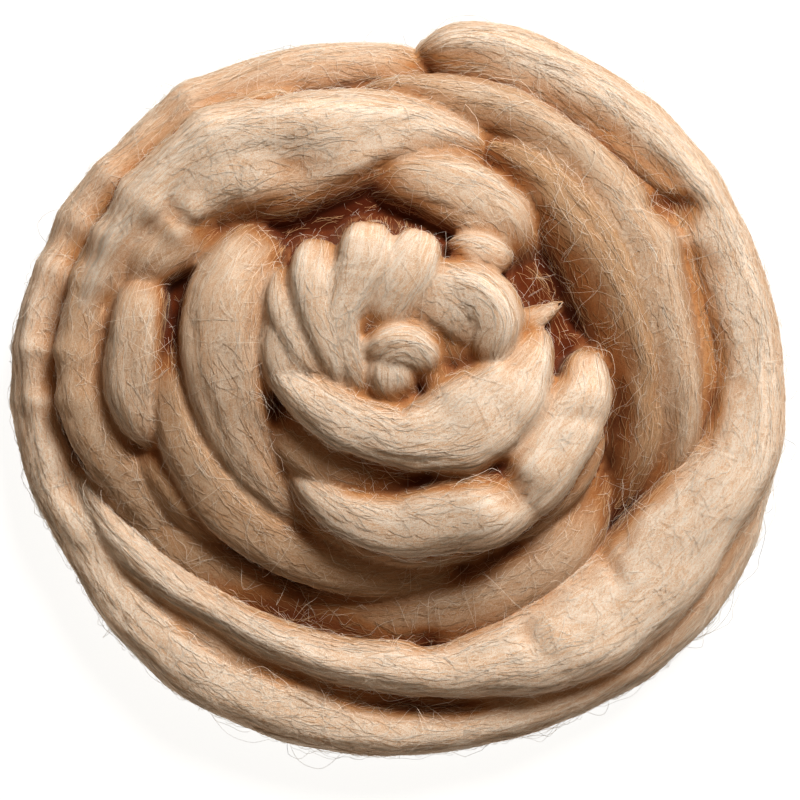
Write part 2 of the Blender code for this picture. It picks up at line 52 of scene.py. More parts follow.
# rows: bearing, radius, height, width, thickness of the strand at each section; lean is in
# degrees about the strand's own way, fullness is how much it swells
turns = {
    "outerRing": {"fullness": 1.02, "rows": [
        (70, 104, 12, 24, 24), (95, 106, 12, 25, 25), (110, 108, 12, 25, 26), (120, 109, 12, 24, 26),
        (130, 108.5, 12, 22, 26), (140, 108, 12, 19, 25), (150, 107.5, 12, 16, 24),
        (160, 106.5, 12, 15, 24), (170, 106, 12, 15, 24), (180, 105, 12, 17, 25), (190, 104.5, 12, 19, 26),
        (200, 104, 13, 22, 27), (210, 105, 13, 22, 27), (220, 106, 13, 21, 27), (230, 107, 13, 20, 27),
        (240, 106.5, 13, 19, 27), (250, 108.5, 13, 19, 27), (260, 110.5, 13, 19, 27),
        (270, 111, 13, 19, 27), (280, 110.5, 13, 19, 27), (290, 109.5, 13, 19, 27), (300, 110, 13, 19, 27),
        (310, 106.5, 14, 19, 26), (320, 105.5, 14, 19, 26), (330, 104.5, 14, 19, 26),
        (340, 103.5, 14, 19, 25), (350, 101, 14, 18, 24), (360, 99, 14, 17, 23), (370, 95, 14, 15, 21),
    ]},
    "ringBeside": {"rows": [
        (176, 101, 10, 9, 18), (188, 99, 12, 11, 20), (200, 97.5, 14, 11, 22), (212, 97, 15, 10, 22),
        (224, 98, 15, 10, 20), (236, 101, 14, 9, 18), (246, 103, 13, 7, 16),
    ]},
    "looseEndTurn": {"fullness": 1.04, "lean": 10.0, "rows": [
        (3, 103.5, 19, 10, 14), (7, 105.5, 21, 14, 18), (12, 107.5, 23, 17, 20), (20, 108.5, 24, 18, 22),
        (30, 108, 25, 19, 23), (40, 107.5, 25, 20, 23), (50, 108.5, 25, 20, 23), (60, 109, 25, 20.5, 24),
        (70, 108, 24, 22, 24), (80, 108.3, 24, 22.5, 24), (90, 107.3, 24, 24, 24), (100, 106.8, 24, 25, 24),
        (105, 104, 25, 27, 24), (110, 100.5, 25, 29, 24), (120, 96, 25, 32, 24), (130, 94, 25, 34, 24),
        (140, 92.5, 25, 33, 24), (150, 91, 25, 29, 23), (160, 88.5, 25, 22, 22), (170, 88, 24, 17, 21),
        (180, 85.5, 24, 18, 20), (190, 85.5, 24, 17, 20), (200, 85.5, 24, 14, 19), (210, 87, 24, 12, 18),
        (220, 88.5, 23, 12, 18), (230, 91.5, 22, 13, 18), (240, 96, 22, 12, 17), (250, 100.5, 20, 9, 15),
        (260, 103.5, 18, 6, 12),
    ]},
    "rimFold": {"rows": [
        (306, 100, 25, 7, 11), (318, 101.5, 28, 9, 12), (328, 99, 29, 9, 12), (336, 97, 28, 8, 10),
        (342, 95.5, 25, 4, 6),
    ]},
    "rightBandOuter": {"lean": 12.0, "rows": [
        (352, 92.5, 25, 5, 9), (360, 92.5, 28, 9, 14), (370, 91.5, 31, 12, 17), (380, 92, 33, 13.5, 18),
        (390, 91.5, 35, 14, 18), (400, 90, 36, 16, 18), (410, 88.3, 37, 17, 19), (420, 86.3, 37, 18, 19),
        (430, 83.3, 36, 18, 19), (440, 83.2, 34, 18, 19), (450, 83.7, 31, 18, 19), (460, 85, 27, 17, 18),
        (470, 84, 21, 14, 18), (482, 82, 15, 13, 16),
    ]},
    "rightBandInner": {"lean": 24.0, "rows": [
        (14, 80, 31, 6, 8), (22, 79.5, 34, 10, 15), (30, 78.5, 36.5, 16, 19), (40, 75, 38, 22, 21),
        (50, 72.5, 38, 25, 23), (60, 71, 37.5, 26, 24), (70, 70.5, 36, 25, 23), (80, 71, 33.5, 23, 22),
        (90, 73, 30.5, 20, 21), (100, 74, 27, 19, 20), (110, 73.5, 22, 19, 18), (120, 72, 17, 18, 17),
        (132, 69, 12, 15, 14),
    ]},
    "topArch": {"lean": 10.0, "rows": [
        (274, 99, 22, 8, 12), (283, 98, 29, 13, 18), (292, 95.5, 33, 17, 20), (300, 92.5, 36, 22, 22),
        (310, 90.5, 39, 27, 24), (320, 87, 41, 31, 26), (326, 84, 42, 33, 27), (332, 80, 43, 33, 28),
        (340, 78, 43, 32, 28), (346, 78, 43, 29, 27), (352, 79, 42, 25, 25), (360, 79.5, 40, 20, 22),
        (367, 79, 38, 16, 20), (375, 77.5, 36, 12, 16), (383, 76.5, 33, 6, 9),
    ]},
    "archUnderfold": {"rows": [
        (288, 86, 30, 10, 13), (296, 85, 37, 15, 18), (304, 82, 40, 18, 20), (311, 79, 40, 16, 19),
        (318, 76, 37, 11, 14),
    ]},
    "topFoldOuter": {"rows": [
        (345, 62, 36, 5, 8), (352, 63.5, 39, 9, 13), (360, 64.5, 42, 14, 19), (370, 64, 44, 18, 22),
        (380, 62.5, 44, 20.5, 23), (389, 60.5, 42, 21, 22), (396, 57.5, 38, 19, 20), (403, 55, 32, 15, 16),
        (410, 53.5, 27, 10, 12),
    ]},
    "topFoldInner": {"rows": [
        (322, 60, 27, 6, 8), (334, 58.5, 31, 10, 12), (348, 57, 35, 13, 15), (362, 56, 37, 14, 17),
        (376, 55, 38, 14, 17), (390, 53.5, 36, 14, 17), (404, 53, 32, 13, 15), (416, 54, 28, 11, 12),
        (428, 56, 25, 7, 9),
    ]},
    "leftTurn": {"lean": -14.0, "rows": [
        (235, 84, 23, 8, 11), (243, 84, 25, 12, 15), (250, 86, 26, 15, 17), (258, 90.5, 27, 15, 19),
        (266, 94.5, 28, 15, 20), (275, 96.5, 29, 14, 20), (284, 98, 29.5, 14, 20), (293, 98.5, 29, 13, 19),
        (301, 98, 27, 11, 16),
    ]},
    "leftTurnLow": {"lean": -18.0, "rows": [
        (175, 71, 19, 13, 13), (190, 72, 19, 15, 13), (205, 74, 20, 15, 14), (220, 77, 22, 15, 15),
        (232, 80.5, 23, 15, 16), (243, 86, 23, 14, 16), (252, 92.5, 22, 12, 16), (260, 98, 21, 8, 14),
    ]},
    "frontTurn": {"lean": -18.0, "rows": [
        (95, 64, 22, 8, 10), (108, 66, 24, 11, 14), (120, 67.5, 25, 14, 16), (132, 69, 26, 18, 18),
        (145, 69, 26, 20, 18), (160, 69, 25, 20, 18), (178, 70, 23, 18, 17), (195, 71, 21, 17, 16),
        (212, 75, 19, 15, 15), (226, 81, 17, 12, 14),
    ]},
    "rightThinFold": {"rows": [
        (90, 66, 22, 4, 7), (98, 66.5, 24, 7, 11), (106, 66.5, 23, 8, 12), (114, 66, 20, 8, 12),
        (122, 67, 16, 6, 9),
    ]},
    "leftThumb": {"fullness": 1.0, "lean": -8.0, "rows": [
        (257, 75, 30, 8, 12), (263, 78.5, 35, 13, 18), (271, 81, 39, 17, 22), (281, 81.5, 41, 18, 23),
        (289, 82.5, 40, 16, 21), (295, 83, 34, 9, 13),
    ]},
    "leftMiddleTurn": {"lean": -20.0, "rows": [
        (158, 54.5, 29, 9, 12), (170, 55, 30, 11, 13), (182, 56, 31, 12, 14), (196, 57, 32, 13.5, 15),
        (210, 58.5, 33, 15, 16), (222, 60, 34, 16, 17), (234, 62, 35, 16.5, 18), (244, 64, 36, 16, 18),
        (254, 66, 37.5, 14.5, 19), (264, 67.7, 39, 13.5, 19), (274, 69.5, 40, 11.5, 18),
        (283, 70.5, 39, 8, 15), (290, 71, 35, 5, 10),
    ]},
    "leftHighTurn": {"lean": -6.0, "rows": [
        (208, 48, 33, 7, 10), (220, 47.5, 35, 10, 14), (232, 48, 37, 13, 18), (244, 48.5, 39, 17, 20),
        (256, 49.5, 41, 19.5, 22), (268, 50.5, 43, 22.5, 25), (280, 53, 45, 25, 27),
        (290, 55.5, 46, 27, 28), (300, 58.3, 46, 27, 28), (309, 60, 44, 24, 26), (316, 60.8, 40, 18, 21),
        (322, 60, 35, 10, 13),
    ]},
    "leftHighFold": {"rows": [
        (296, 48, 39, 5, 8), (307, 52, 42, 8, 13), (316, 55, 41, 9, 14), (323, 56, 37, 7, 11),
    ]},
    "frontCrescent": {"lean": -8.0, "rows": [
        (78, 60, 39, 8, 9), (84, 57.5, 44, 14, 17), (90, 56.5, 46, 17, 20), (97, 53.5, 47, 19, 22),
        (105, 50.5, 48, 20, 22), (115, 48.5, 49, 20, 22), (124, 47.5, 48, 19, 22),
        (130, 46.5, 47, 18.5, 21), (137, 45.5, 48, 20, 22), (146, 44, 49, 22, 23), (156, 42, 48, 21, 22),
        (168, 41, 47, 19.5, 21), (180, 41, 46, 18, 20), (192, 40.5, 46, 16, 19), (204, 40, 46, 14, 18),
        (216, 39.5, 45, 11, 16), (228, 39.5, 43, 7.5, 12), (238, 40, 40, 4, 7),
    ]},
    "rightSmallFold": {"rows": [
        (72, 52, 36, 6, 9), (76, 56, 37, 8, 10), (80, 60, 35, 7, 9),
    ]},
    "shadedCrescent": {"lean": -12.0, "rows": [
        (138, 33, 43, 8, 12), (150, 31, 44, 10, 15), (165, 29, 44.5, 12, 16), (180, 28, 44.5, 13, 17),
        (195, 27.5, 44.5, 14, 18), (210, 28.5, 44.5, 15, 18), (225, 30.5, 44, 15, 18),
        (238, 33, 43.5, 14, 18), (249, 35.5, 43, 12, 17), (259, 37.5, 41, 9, 15), (268, 39.5, 38, 6, 10),
    ]},
    "brightCrescent": {"rows": [
        (66, 47, 47, 6, 10), (71, 44.5, 50, 10, 15), (76, 41, 52, 14, 18), (83, 36.5, 53, 19, 20),
        (90, 33, 54, 23, 22), (99, 28.5, 54, 26, 23), (110, 24.5, 55, 27, 24), (120, 22, 55, 27, 24),
        (132, 19, 55, 24, 23), (146, 16.8, 55, 20, 22), (162, 15.3, 55, 18, 21), (180, 14.5, 55, 15.5, 20),
        (200, 14, 55, 15.5, 20), (222, 15.5, 55, 15.5, 20), (240, 18.5, 55, 16, 20),
        (255, 22.5, 55, 15.5, 20), (266, 27, 54, 14.5, 19), (275, 32.5, 53, 12, 18),
        (282, 37.3, 51, 10, 16), (289, 41.5, 48, 7, 12),
    ]},
    "petalBed": {"rows": [
        (270, 24, 46, 16, 20), (290, 31, 52, 24, 22), (312, 34, 54, 26, 22), (336, 33, 55, 26, 22),
        (358, 30, 55, 26, 20), (380, 28, 54, 24, 20), (402, 26, 54, 22, 18), (422, 24.5, 53.5, 18, 16),
        (440, 23, 51, 12, 12),
    ]},
    "petalBack": {"rows": [
        (243, 6, 50, 6, 8), (281, 11, 55, 7, 11), (308, 9.5, 54, 8, 12),
    ]},
    "petalOne": {"fullness": 1.0, "rows": [
        (240, 9, 52, 5, 8), (268, 11, 55, 7, 11), (294, 15, 57.5, 9, 13), (311, 21.5, 59, 10.5, 15),
        (323, 29, 60.5, 12.5, 17), (336, 35, 61.5, 15, 18), (344, 40.5, 62, 16.5, 19),
        (347, 45, 61.5, 16.5, 18), (348.5, 48.5, 54, 12, 13),
    ]},
    "petalLeft": {"fullness": 1.0, "rows": [
        (256, 14, 52, 6, 9), (279, 17, 55, 8, 12), (297, 22, 57.5, 10, 15), (308, 29, 59.5, 11.5, 17),
        (316, 36, 60.5, 13, 18), (323, 42.5, 61, 15, 18), (328, 47, 58.5, 15, 16), (331, 50, 51, 11, 11),
    ]},
    "petalFarLeft": {"fullness": 1.0, "rows": [
        (268, 15, 50, 7, 11), (281, 22, 53, 9, 14), (291, 30, 56, 11, 16), (300, 38, 57, 12, 17),
        (307, 44, 57, 13, 17), (313, 47.5, 54, 12, 15), (317, 49.5, 48, 8, 10),
    ]},
    "petalTwo": {"fullness": 1.0, "rows": [
        (343, 17, 54, 11, 13), (350, 23, 57.5, 15, 16), (356, 28.5, 59.5, 16.5, 17),
        (361.5, 34, 61, 17.5, 18), (365, 39, 61.5, 17.5, 18), (367, 43, 61, 16, 17),
        (368, 46.5, 55, 11, 12),
    ]},
    "petalSmall": {"fullness": 1.0, "rows": [
        (18, 45, 51, 7, 10), (25, 48, 53, 11, 14), (34, 50, 52, 11, 14), (41, 51, 47, 8, 10),
    ]},
    "petalRight": {"fullness": 1.0, "lean": 14.0, "rows": [
        (14, 33, 55.5, 9, 13), (24, 35, 58, 13, 16), (34, 37, 59.5, 16, 18), (44, 38, 60, 17, 19),
        (53, 36.5, 59.3, 17, 19), (61, 32.5, 57, 15, 18), (69, 29.5, 53, 12, 15), (76, 27, 49, 9, 12),
    ]},
    "petalRightHollow": {"fullness": 1.1, "lean": 10.0, "rows": [
        (326, 23, 53, 11, 13), (340, 25, 56, 16, 16), (353, 27, 57.5, 18, 17), (367, 29, 58, 20, 18),
        (382, 30.5, 58.5, 22, 18), (396, 31, 58.3, 22, 18), (408, 30.5, 57, 20, 17),
        (418, 28.5, 54, 16, 15), (428, 26, 50, 11, 12),
    ]},
    "heartDome": {"fullness": 1.0, "lean": 18.0, "rows": [
        (318, 14, 54, 9, 12), (332, 14.5, 58.5, 12, 15), (350, 15, 60.5, 13.5, 17),
        (370, 15, 60.5, 13.5, 17), (388, 14.5, 59.5, 12, 16), (404, 13, 56, 9, 13), (418, 11.5, 51, 6, 9),
    ]},
    "heartSmall": {"fullness": 1.0, "rows": [
        (36, 15.5, 52, 7, 9), (52, 13.5, 54.5, 9, 11), (68, 12, 56, 10, 12), (84, 12.5, 56, 10, 12),
        (98, 15, 53, 7, 9),
    ]},
    "frontCrescentFold": {"rows": [
        (97, 61, 38, 6, 8), (106, 61.5, 38, 8, 11), (116, 61, 37, 8, 12), (126, 58.5, 36, 8, 12),
        (136, 57, 36, 7, 11), (146, 55.5, 34, 5, 7),
    ]},
    "wispRight": {"rows": [
        (59, 34, 48, 8, 9), (61, 41, 51, 8, 8), (61.5, 47, 51, 6.5, 6), (61.8, 52, 49, 4.5, 4.5),
        (61.5, 57, 46, 2.5, 2.5),
    ]},
    "wispLow": {"rows": [
        (83, 49, 43, 4, 5), (80.5, 53, 44, 4, 4), (78.5, 58, 42, 2.5, 3),
    ]},
    "heartFloor": {"fullness": 1.0, "rows": [
        (347, 13, 59.5, 12, 13), (345, 10, 60.5, 16, 15), (338, 6.5, 59, 15, 15), (322, 2, 56, 12, 13),
        (315, -3, 52.5, 9, 10), (315, -7, 49, 6, 8),
    ]},
    "archBeside": {"rows": [
        (358, 86, 33, 7, 10), (366, 86.5, 34, 9, 12), (376, 86, 34, 9, 12), (386, 85, 33, 7, 10),
    ]},
    "bandBeside": {"rows": [
        (26, 99, 21, 7, 10), (38, 99.5, 25, 9, 14), (50, 100, 26, 12, 16), (60, 98.5, 26.5, 13, 16),
        (72, 95.5, 26, 12, 16), (88, 95, 24.5, 12, 16), (100, 95.5, 22, 9, 13),
    ]},
    "underArch": {"rows": [
        (298, 67, 29.5, 8, 10), (312, 64.5, 34, 13, 14), (325, 62, 36, 15, 16), (338, 59.5, 37.5, 15, 16),
        (352, 56, 37.5, 13, 15), (366, 53, 35.5, 9, 11),
    ]},
    "underBand": {"rows": [
        (36, 55, 34, 8, 10), (48, 56, 35, 12, 13), (62, 57.5, 34, 12, 13), (76, 60.5, 31, 8, 10),
    ]},
    "leftBeside": {"rows": [
        (226, 69.5, 24, 7, 9), (236, 71.5, 28, 12, 13), (245, 73.5, 30, 14, 15), (253, 76.5, 30, 13, 15),
        (261, 80, 27, 8, 11),
    ]},
}

# Plain spirals that carry the others: outer and inner radius, pitch, height, width, thickness.
# An inner radius below nought carries the last turn across the middle.
underTurns = {
    "turnsOnTable": (100, -5, 19, 9, 26, 28),
    "secondLayer": (52, -4, 17, 28, 25, 28),
    "thirdLayer": (33, -2, 12, 37, 19, 22),
}
rowsARound = 16
underDetail = 0.35  # share of the points of a turn that shows

# How the strand's surface is worked, for every turn
strand = {
    "roundness": 2.8,  # power of the oval, 2 is an ellipse
    "fullness": 1.14,  # how much the turns swell against each other
    "fullRadius": 11.0 * mm,
    "capLength": 12.5 * mm,  # how long a rounded end is
    "capShare": 0.4,  # and how much of a short strand it may take
    "capTip": 0.004,  # keeps the last ring open
    "stepAlong": 1.9 * mm,
    "stepAround": 0.85 * mm,
    "fewestAlong": 8,
    "fewestAround": 16,
    "curvePoints": 24,  # worked out between two rows
    "twist": 7.0,  # radians of drift round the strand for each metre
    "tableTop": 0.0,
}

# Relief laid on the strand.  rows: length along, width round, height, all in mm;
# soft relief swells and sinks, folded relief is puffs parted by creases, with heights that
# follow a power of the noise, less a level
softRelief = [(34.0, 22.0, 1.2), (17.0, 11.0, 0.7), (9.0, 5.0, 0.35), (14.0, 2.2, 0.12)]
foldedRelief = [(46.0, 11.0, 1.2), (20.0, 9.0, 0.7), (22.0, 4.5, 0.32)]
foldPower = 0.75
foldLevel = 0.45
fewestCells = 3  # of relief round the strand

# Painted shade of single turns, darkening the colour of those that lie in shade under the key
# light, with some of the wool's own tone: nought is none, one is the darkest
paintedTurnShades = {
    "rightBandInner": 1.0, "rightBandOuter": 0.55, "topFoldOuter": 0.3, "topFoldInner": 0.7,
    "leftTurn": 0.7, "leftThumb": 0.45, "leftHighTurn": 0.4, "leftMiddleTurn": 0.8, "leftTurnLow": 0.9,
    "leftBeside": 1.0, "archUnderfold": 0.4, "frontTurn": 0.5, "shadedCrescent": 0.8, "rightThinFold": 1.0,
    "frontCrescentFold": 0.6, "underBand": 1.0, "underArch": 1.0,
}

# Puffs and dents seen in single places.
# rows: bearing, radius, height, length along the turn, width across it, slant in degrees
puffs = [
    (334, 77, -2.6, 8, 7, 0), (323, 78, 1.2, 8, 6, 0), (319, 84, 1.6, 9, 7, 0),
    (276.7, 110, 1.6, 3.5, 12, 0), (268.5, 110, 1.4, 3.5, 12, 0), (289.6, 110, 1.5, 4, 12, 0),
    (297.5, 109, 1.8, 4, 12, 0), (306.8, 110, 2.0, 5, 12, 0), (324.3, 108, 1.6, 6, 12, 0),
    (56, 102, -2.4, 3, 9, 35), (62, 100, 1.6, 4, 8, 35), (174, 78, -1.6, 5, 4, 0), (152, 86, -1.6, 3, 5, 0),
    (147, 92, 1.5, 5, 5, 0), (130, 86, -1.5, 2.5, 7, 20), (99, 57, -1.4, 2.5, 7, 0), (90, 58, 1.2, 4, 5, 0),
    (127, 42, -1.4, 2.5, 8, 0), (134, 47, -1.2, 3, 8, 0), (121, 48, 1.4, 5, 5, 0), (145, 44, 1.6, 5, 5, 0),
    (306.5, 94, 1.8, 4, 3, 0), (311, 84, 2.2, 4, 3, 0), (305.5, 84, 2.2, 3, 4, 0),
    (308.5, 87.5, -1.2, 3, 5, 0), (302.5, 90, -0.8, 4, 4, 0),
]


def polarPoint(bearing, radius, height):
    # east is radius times the sine of the bearing, north is radius times its cosine
    angle = math.radians(bearing)
    east = radius * math.sin(angle) - nestMiddle[0]
    north = radius * math.cos(angle) - nestMiddle[1]
    return [east * mm, north * mm, height * mm]


def tableRows(rows):
    # each row becomes x, y, z, width, thickness in metres
    return np.array([polarPoint(*row[:3]) + [row[3] * mm, row[4] * mm] for row in rows])


def spiralRows(outer, inner, pitch, height, width, thickness):
    # the radius falls evenly from outer to inner while the bearing runs on
    rounds = (outer - inner) / pitch
    shares = np.linspace(0.0, 1.0, int(rounds * rowsARound) + 1)
    rows = [(360.0 * rounds * s, outer + (inner - outer) * s, height, width, thickness) for s in shares]
    return tableRows(rows)


def unit(vectors):
    # the vectors brought to length one
    return vectors / np.maximum(np.linalg.norm(vectors, axis=-1), tiny)[..., None]


def smoothRows(rows, spacing):
    # Catmull-Rom curve through the rows, read off at even steps of its length
    padded = np.vstack([2.0 * rows[0] - rows[1], rows, 2.0 * rows[-1] - rows[-2]])
    p0, p1, p2, p3 = (padded[i : i + len(rows) - 1, None, :] for i in range(4))
    t = np.linspace(0.0, 1.0, strand["curvePoints"], endpoint=False)[None, :, None]
    fine = 0.5 * (
        2.0 * p1
        + (p2 - p0) * t
        + (2.0 * p0 - 5.0 * p1 + 4.0 * p2 - p3) * t**2
        + (3.0 * p1 - p0 - 3.0 * p2 + p3) * t**3
    )
    fine = np.vstack([fine.reshape(-1, rows.shape[1]), rows[-1:]])
    gaps = np.linalg.norm(np.diff(fine[:, :3], axis=0), axis=1)
    run = np.concatenate([[0.0], np.cumsum(gaps)])
    count = max(int(round(run[-1] / spacing)), strand["fewestAlong"]) + 1
    stations = np.linspace(0.0, run[-1], count)
    columns = [np.interp(stations, run, fine[:, column]) for column in range(fine.shape[1])]
    return np.stack(columns, axis=-1), stations


def cornerBlend(grid, i, j0, j1, a, b):
    # the four corners of a cell mixed by the shares a and b
    near = grid[i, j0] * (1.0 - b) + grid[i, j1] * b
    far = grid[i + 1, j0] * (1.0 - b) + grid[i + 1, j1] * b
    return near * (1.0 - a) + far * a


def latticeNoise(rng, along, across, cellsRound):
    # random heights at the corners of a lattice that wraps round the strand, blended between
    # them by 3t^2 - 2t^3; along and across are counted in cells
    lattice = rng.uniform(-1.0, 1.0, (int(along.max()) + 3, cellsRound))
    i = np.floor(along).astype(int)
    j = np.floor(across).astype(int)
    a = along - i
    b = across - j
    a = a * a * (3.0 - 2.0 * a)
    b = b * b * (3.0 - 2.0 * b)
    return cornerBlend(lattice, i, j % cellsRound, (j + 1) % cellsRound, a, b)


def streakNoise(rng, run, angle, longStep, cellsRound):
    # lattice noise in streaks longStep long, with cellsRound of them round the strand
    along = run[:, None] / longStep + rng.uniform()
    across = angle / (2.0 * math.pi) * cellsRound + rng.uniform(0.0, cellsRound)
    return latticeNoise(rng, along, across, cellsRound)


def puffHeights(points, outward):
    # each puff is height times exp(-(u / length)^2 - (v / width)^2), with u along the turn
    # and v across it; only what faces up or outwards takes part
    heights = np.zeros(points.shape[:2])
    facing = np.clip(outward[:, :, 2] * 2.0 + 1.0, 0.0, 1.0)
    for bearing, radius, height, length, width, slant in puffs:
        away = points[:, :, :2] - np.array(polarPoint(bearing, radius, 0.0)[:2])
        turn = math.radians(bearing + slant)
        u = away[:, :, 0] * math.cos(turn) - away[:, :, 1] * math.sin(turn)
        v = away[:, :, 0] * math.sin(turn) + away[:, :, 1] * math.cos(turn)
        bump = np.exp(-((u / (length * mm)) ** 2) - (v / (width * mm)) ** 2)
        heights += height * mm * bump * facing
    return heights


def strandSurface(rng, rows, lean, fullness, detail=1.0):
    # an oval carried along the smooth middle line and leant about it; the reliefs and the
    # puffs are added along the oval's own outward direction
    rows, run = smoothRows(rows, strand["stepAlong"] / detail)
    middle = rows[:, :3]
    ahead = unit(np.gradient(middle, axis=0))
    side = unit(np.stack([-ahead[:, 1], ahead[:, 0], np.zeros(len(ahead))], axis=-1))
    rise = np.cross(ahead, side)
    turn = math.radians(lean)
    leaning = side * math.cos(turn) + rise * math.sin(turn)
    rise = rise * math.cos(turn) - side * math.sin(turn)
    side = leaning

    cap = min(strand["capLength"], strand["capShare"] * run[-1])
    share = np.clip(np.minimum(run, run[-1] - run) / cap, 0.0, 1.0)
    # these hold a column with one number for each ring
    rounding = np.sqrt(np.clip(1.0 - (1.0 - share) ** 2, strand["capTip"], 1.0))[:, None]
    halfWidth = 0.5 * fullness * rows[:, 3, None]
    halfThick = 0.5 * rows[:, 4, None]
    girth = 2.0 * math.pi * np.sqrt(0.5 * (halfWidth.max() ** 2 + halfThick.max() ** 2))
    around = max(int(girth / (strand["stepAround"] / detail)), strand["fewestAround"])

    # the seam runs along the underside
    angle = -0.5 * math.pi + 2.0 * math.pi * np.arange(around) / around
    power = 2.0 / strand["roundness"]
    across = np.sign(np.cos(angle)) * np.abs(np.cos(angle)) ** power
    up = np.sign(np.sin(angle)) * np.abs(np.sin(angle)) ** power

    drifted = angle + strand["twist"] * run[:, None]
    # a thin stretch is smoother than a thick one
    bulk = np.minimum(0.5 * (halfWidth + halfThick) / strand["fullRadius"], 1.0)
    swell = np.zeros((len(run), around))
    for length, width, height in softRelief + foldedRelief:
        cells = max(int(girth / (width * mm)), fewestCells)
        noise = streakNoise(rng, run, drifted, length * mm, cells)
        if (length, width, height) in foldedRelief:
            noise = np.abs(noise) ** foldPower - foldLevel
        swell += height * mm * noise
    swell *= bulk**2 * rounding

    side, rise = side[:, None, :], rise[:, None, :]
    outA = across / halfWidth
    outB = up / halfThick
    outLength = np.sqrt(outA**2 + outB**2)
    outward = side * (outA / outLength)[:, :, None] + rise * (outB / outLength)[:, :, None]
    a = halfWidth * rounding * across
    b = halfThick * rounding * up
    points = middle[:, None, :] + side * a[:, :, None] + rise * b[:, :, None]
    swell += puffHeights(points, outward) * rounding
    points += outward * swell[:, :, None]
    points[:, :, 2] = np.maximum(points[:, :, 2], strand["tableTop"])
    return {"points": points, "run": run, "girth": girth}


def surfaceNormals(points):
    # cross product of the steps round and along the grid, which points outwards
    along = np.gradient(points, axis=0)
    around = np.roll(points, -1, axis=1) - np.roll(points, 1, axis=1)
    return unit(np.cross(around, along))


# Maps of the nest's outside, in square cells, which tell crowns from hollows
relief = {
    "cell": 0.0012,
    "reach": 0.14,  # half the map's side
    "topReach": 0.0028,  # how far under the top a point still shows
    "sideReach": 0.003,
    "skyPairs": 8,
    "skySteps": (2, 4, 7, 11, 16, 23),  # cells
    "grooves": 0.5,  # share that goes to the more open way
    "openSky": 0.94,  # on a crown
    "closedSky": 0.5,
    "buried": 0.012,  # depth under the top at which a point sees nothing
    "rim": 0.014,  # how far in from the edge the side light reaches
    "rimShare": 0.85,
    "rimHeight": 0.024,  # above which it no longer counts
    "rimFade": 0.012,
    "denser": 2,  # times as many points each way go into the maps
    "edgeBearings": 180,
    "edgeLevels": 60,
    "edgeLevel": 0.002,  # height of a level
    "foot": 0.001,  # nothing lower shows
}


def openness(top):
    # one less the sine of the steepest rise, as a mean over all ways, where for each pair of
    # opposite ways a share goes to the more open one: a groove is closed on both sides, a
    # slope on one only
    sky = np.zeros_like(top)
    for pair in range(relief["skyPairs"]):
        angle = math.pi * pair / relief["skyPairs"]
        parts = (math.cos(angle), math.sin(angle))
        opens = []
        for way in (1, -1):
            rise = np.zeros_like(top)
            for reach in relief["skySteps"]:
                step = tuple(int(round(way * reach * part)) for part in parts)
                slope = (np.roll(top, step, (0, 1)) - top) / (math.hypot(*step) * relief["cell"])
                rise = np.maximum(rise, slope)
            opens.append(1.0 - rise / np.sqrt(1.0 + rise**2))
        share = relief["grooves"]
        sky += share * np.maximum(*opens) + (1.0 - share) * 0.5 * (opens[0] + opens[1])
    return sky / relief["skyPairs"]


def slideOver(grid, reach, fold):
    # folds each cell with its neighbours up to reach away, along one axis and then the other
    for axis in (0, 1):
        grid = fold([np.roll(grid, shift, axis) for shift in range(-reach, reach + 1)], axis=0)
    return grid


core = {
    "gap": 7,  # cells
    "blur": 3,  # cells
    "under": 0.0115,
    "bearings": 240,
    "rings": 70,
    "innerRadius": 0.002,
    "radius": 0.102,
    "edgeHeight": 0.004,
    "footHeight": 0.001,
}


def innerCore(maps):
    # what lies under the turns that show: the top with its narrow gaps closed, smoothed and
    # let down by the cover's thickness.  Its rings run from the middle of the top outwards,
    # down the edge and back in along the table.
    filled = slideOver(maps["top"], core["gap"], np.max)
    filled = slideOver(filled, core["gap"], np.min)
    filled = slideOver(filled, core["blur"], np.mean)
    bearings = np.linspace(0.0, 2.0 * math.pi, core["bearings"] + 1)[:-1]
    radii = np.linspace(core["innerRadius"], core["radius"], core["rings"])
    east, north = np.outer(radii, np.sin(bearings)), np.outer(radii, np.cos(bearings))
    top = np.stack([east, north, np.zeros_like(east)], axis=-1)
    top[:, :, 2] = np.maximum(filled[topCell(top)] - core["under"], core["edgeHeight"])
    foot = top[::-1].copy()
    foot[:, :, 2] = core["footHeight"]
    points = np.vstack([top, foot])
    steps = np.linalg.norm(np.diff(points[:, 0], axis=0), axis=1)
    return {
        "points": points,
        "run": np.concatenate([[0.0], np.cumsum(steps)]),
        "girth": math.pi * core["radius"],
    }


def readGrid(grid, row, column):
    # bilinear reading of a grid that wraps in its columns
    rows, columns = grid.shape[:2]
    row = np.clip(row, 0.0, rows - 1.001)  # just short of the last row
    i = np.floor(row).astype(int)
    j = np.floor(column).astype(int)
    a = (row - i)[..., None]
    b = (column - j)[..., None]
    return cornerBlend(grid, i, j % columns, (j + 1) % columns, a, b)


def densePoints(points, times):
    # the grid read off at finer steps along the strand and round it
    row = np.arange(0.0, len(points) - 1.0, 1.0 / times)[:, None]
    column = np.arange(0.0, points.shape[1], 1.0 / times)
    return readGrid(points, *np.broadcast_arrays(row, column)).reshape(-1, 3)


def mapRelief(points):
    # the top map holds the highest point of each cell, the edge map the farthest from the
    # middle by bearing and height, and the sky map how open each cell of the top lies
    size = int(2 * relief["reach"] / relief["cell"])
    top = np.zeros((size, size))
    np.maximum.at(top, topCell(points), points[:, 2])
    # single cells that no point fell in are closed
    top = slideOver(slideOver(top, 1, np.max), 1, np.min)
    edge = np.zeros((relief["edgeBearings"], relief["edgeLevels"]))
    np.maximum.at(edge, edgeCell(points), np.hypot(points[:, 0], points[:, 1]))
    return {"top": top, "edge": edge, "sky": slideOver(openness(top), 1, np.mean)}


